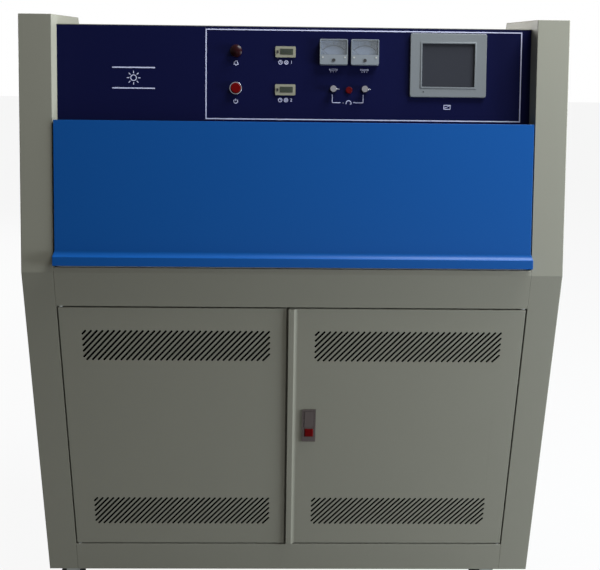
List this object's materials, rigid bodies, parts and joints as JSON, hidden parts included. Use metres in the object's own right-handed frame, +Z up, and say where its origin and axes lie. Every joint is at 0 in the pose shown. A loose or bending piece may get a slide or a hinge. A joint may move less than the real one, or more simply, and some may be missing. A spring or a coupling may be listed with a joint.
{
  "type": "uv weathering test chamber",
  "caption": "Floor-standing accelerated weathering chamber with ultraviolet lamps, swing-up doors, control panel, vented lower cabinet and casters.",
  "frame": {"origin": "on the floor under the middle of the machine, at the casters' contact height", "axes": "+X to the operator's right, +Y from the front to the back, +Z up"},
  "size_m": [1.3, 0.5858, 1.52],
  "materials": {
    "left_side_cover": "satin",
    "right_side_cover": "satin",
    "inner_walls": "satin",
    "base_frame": "satin",
    "cabinet_rails": "satin",
    "rear_panels": "satin",
    "top_cover": "satin",
    "control_panel": "satin",
    "chamber_roof": "brushed",
    "opening_frames": "brushed",
    "water_pan": "brushed",
    "pan_heater": "brushed",
    "chamber_seals": "plain",
    "specimen_racks": "brushed",
    "specimen_holders": "plain",
    "uv_lamps": "plain",
    "lamp_sockets": "glossy",
    "chamber_sensors": "satin",
    "buzzer": "glossy",
    "power_bezel": "plain",
    "power_button": "glossy",
    "hour_meters": "glossy",
    "upper_hour_meter_key": "glossy",
    "lower_hour_meter_key": "glossy",
    "meter_cases": "glossy",
    "meter_dials": "plain",
    "meter_windows": "plain",
    "left_meter_needle": "plain",
    "right_meter_needle": "plain",
    "left_knob": "plain",
    "right_knob": "plain",
    "reset_button": "glossy",
    "touchscreen_bezel": "plain",
    "touchscreen_glass": "plain",
    "front_door": "satin",
    "rear_door": "satin",
    "hinge_brackets": "brushed",
    "left_cabinet_door": "satin",
    "right_cabinet_door": "satin",
    "cabinet_door_pivots": "brushed",
    "latch_body": "glossy",
    "latch_lever": "plain",
    "latch_button": "glossy",
    "screws": "plain",
    "blower_housing": "satin",
    "blower_wheel": "plain",
    "electrical_plate": "brushed",
    "lamp_ballasts": "satin",
    "switchgear": "plain",
    "water_tank": "plain",
    "service_fittings": "brushed",
    "caster_plates": "brushed",
    "front_left_caster_fork": "brushed",
    "front_left_caster_wheel": "plain",
    "front_right_caster_fork": "brushed",
    "front_right_caster_wheel": "plain",
    "rear_left_caster_fork": "brushed",
    "rear_left_caster_wheel": "plain",
    "rear_right_caster_fork": "brushed",
    "rear_right_caster_wheel": "plain"
  },
  "bodies": {
    "cabinet": {"left_side_cover": "left_side_cover", "right_side_cover": "right_side_cover", "inner_walls": "inner_walls", "base_frame": "base_frame", "cabinet_rails": "cabinet_rails", "rear_panels": "rear_panels", "top_cover": "top_cover", "control_panel": "control_panel", "chamber_roof": "chamber_roof", "opening_frames": "opening_frames", "water_pan": "water_pan", "pan_heater": "pan_heater", "chamber_seals": "chamber_seals", "specimen_racks": "specimen_racks", "specimen_holders": "specimen_holders", "uv_lamps": "uv_lamps", "lamp_sockets": "lamp_sockets", "chamber_sensors": "chamber_sensors", "buzzer": "buzzer", "power_bezel": "power_bezel", "hour_meters": "hour_meters", "meter_cases": "meter_cases", "meter_dials": "meter_dials", "meter_windows": "meter_windows", "touchscreen_bezel": "touchscreen_bezel", "touchscreen_glass": "touchscreen_glass", "hinge_brackets": "hinge_brackets", "cabinet_door_pivots": "cabinet_door_pivots", "screws": "screws", "blower_housing": "blower_housing", "electrical_plate": "electrical_plate", "lamp_ballasts": "lamp_ballasts", "switchgear": "switchgear", "water_tank": "water_tank", "service_fittings": "service_fittings", "caster_plates": "caster_plates"},
    "power_button": {"power_button": "power_button"},
    "upper_hour_meter_key": {"upper_hour_meter_key": "upper_hour_meter_key"},
    "lower_hour_meter_key": {"lower_hour_meter_key": "lower_hour_meter_key"},
    "left_meter_needle": {"left_meter_needle": "left_meter_needle"},
    "right_meter_needle": {"right_meter_needle": "right_meter_needle"},
    "left_knob": {"left_knob": "left_knob"},
    "right_knob": {"right_knob": "right_knob"},
    "reset_button": {"reset_button": "reset_button"},
    "front_door": {"front_door": "front_door"},
    "rear_door": {"rear_door": "rear_door"},
    "left_cabinet_door": {"left_cabinet_door": "left_cabinet_door"},
    "right_cabinet_door": {"right_cabinet_door": "right_cabinet_door", "latch_body": "latch_body"},
    "latch_lever": {"latch_lever": "latch_lever"},
    "latch_button": {"latch_button": "latch_button"},
    "blower_wheel": {"blower_wheel": "blower_wheel"},
    "front_left_fork": {"front_left_caster_fork": "front_left_caster_fork"},
    "front_left_wheel": {"front_left_caster_wheel": "front_left_caster_wheel"},
    "front_right_fork": {"front_right_caster_fork": "front_right_caster_fork"},
    "front_right_wheel": {"front_right_caster_wheel": "front_right_caster_wheel"},
    "rear_left_fork": {"rear_left_caster_fork": "rear_left_caster_fork"},
    "rear_left_wheel": {"rear_left_caster_wheel": "rear_left_caster_wheel"},
    "rear_right_fork": {"rear_right_caster_fork": "rear_right_caster_fork"},
    "rear_right_wheel": {"rear_right_caster_wheel": "rear_right_caster_wheel"}
  },
  "joints": [
    {"name": "power_button_press", "type": "slide", "parent": "cabinet", "child": "power_button", "axis": [0, 0.9705, -0.241], "range_m": [0, 0.003], "stiffness_N_per_m": 500},
    {"name": "upper_hour_meter_key_press", "type": "slide", "parent": "cabinet", "child": "upper_hour_meter_key", "axis": [0, 0.9705, -0.241], "range_m": [0, 0.001], "stiffness_N_per_m": 300},
    {"name": "lower_hour_meter_key_press", "type": "slide", "parent": "cabinet", "child": "lower_hour_meter_key", "axis": [0, 0.9705, -0.241], "range_m": [0, 0.001], "stiffness_N_per_m": 300},
    {"name": "reset_button_press", "type": "slide", "parent": "cabinet", "child": "reset_button", "axis": [0, 0.9705, -0.241], "range_m": [0, 0.003], "stiffness_N_per_m": 400},
    {"name": "left_needle_swing", "type": "hinge", "parent": "cabinet", "child": "left_meter_needle", "pos_m": [0.0934, -0.11127, 1.42168], "axis": [0, 0.9705, -0.241], "range_deg": [0, 90], "stiffness_Nm_per_rad": 0.00002},
    {"name": "right_needle_swing", "type": "hinge", "parent": "cabinet", "child": "right_meter_needle", "pos_m": [0.1687, -0.11127, 1.42168], "axis": [0, 0.9705, -0.241], "range_deg": [0, 90], "stiffness_Nm_per_rad": 0.00002},
    {"name": "left_knob_turn", "type": "hinge", "parent": "cabinet", "child": "left_knob", "pos_m": [0.0934, -0.12218, 1.35452], "axis": [0, 0.9705, -0.241], "range_deg": [-135, 135]},
    {"name": "right_knob_turn", "type": "hinge", "parent": "cabinet", "child": "right_knob", "pos_m": [0.1694, -0.12218, 1.35452], "axis": [0, 0.9705, -0.241], "range_deg": [-135, 135]},
    {"name": "front_door_lift", "type": "hinge", "parent": "cabinet", "child": "front_door", "pos_m": [0, -0.16312, 1.26639], "axis": [-1, 0, 0], "range_deg": [0, 100]},
    {"name": "rear_door_lift", "type": "hinge", "parent": "cabinet", "child": "rear_door", "pos_m": [0, 0.16312, 1.26639], "axis": [1, 0, 0], "range_deg": [0, 100]},
    {"name": "left_cabinet_door_swing", "type": "hinge", "parent": "cabinet", "child": "left_cabinet_door", "pos_m": [-0.5635, -0.269, 0.512], "axis": [0, 0, -1], "range_deg": [0, 110]},
    {"name": "right_cabinet_door_swing", "type": "hinge", "parent": "cabinet", "child": "right_cabinet_door", "pos_m": [0.5635, -0.269, 0.512], "axis": [0, 0, 1], "range_deg": [0, 110]},
    {"name": "latch_lever_pull", "type": "hinge", "parent": "right_cabinet_door", "child": "latch_lever", "pos_m": [0.035, -0.276, 0.5288], "axis": [0, 0, -1], "range_deg": [0, 45]},
    {"name": "latch_button_press", "type": "slide", "parent": "right_cabinet_door", "child": "latch_button", "axis": [0, 1, 0], "range_m": [0, 0.003], "stiffness_N_per_m": 500},
    {"name": "blower_spin", "type": "hinge", "parent": "cabinet", "child": "blower_wheel", "pos_m": [0.2, 0.02, 0.2255], "axis": [0, 1, 0], "continuous": true},
    {"name": "front_left_swivel", "type": "hinge", "parent": "cabinet", "child": "front_left_fork", "pos_m": [-0.576, -0.215, 0.08], "axis": [0, 0, 1], "continuous": true},
    {"name": "front_left_roll", "type": "hinge", "parent": "front_left_fork", "child": "front_left_wheel", "pos_m": [-0.606, -0.215, 0.0325], "axis": [0, 1, 0], "continuous": true},
    {"name": "front_right_swivel", "type": "hinge", "parent": "cabinet", "child": "front_right_fork", "pos_m": [0.576, -0.215, 0.08], "axis": [0, 0, 1], "continuous": true},
    {"name": "front_right_roll", "type": "hinge", "parent": "front_right_fork", "child": "front_right_wheel", "pos_m": [0.546, -0.215, 0.0325], "axis": [0, 1, 0], "continuous": true},
    {"name": "rear_left_swivel", "type": "hinge", "parent": "cabinet", "child": "rear_left_fork", "pos_m": [-0.576, 0.215, 0.08], "axis": [0, 0, 1], "continuous": true},
    {"name": "rear_left_roll", "type": "hinge", "parent": "rear_left_fork", "child": "rear_left_wheel", "pos_m": [-0.606, 0.215, 0.0325], "axis": [0, 1, 0], "continuous": true},
    {"name": "rear_right_swivel", "type": "hinge", "parent": "cabinet", "child": "rear_right_fork", "pos_m": [0.576, 0.215, 0.08], "axis": [0, 0, 1], "continuous": true},
    {"name": "rear_right_roll", "type": "hinge", "parent": "rear_right_fork", "child": "rear_right_wheel", "pos_m": [0.546, 0.215, 0.0325], "axis": [0, 1, 0], "continuous": true}
  ]
}
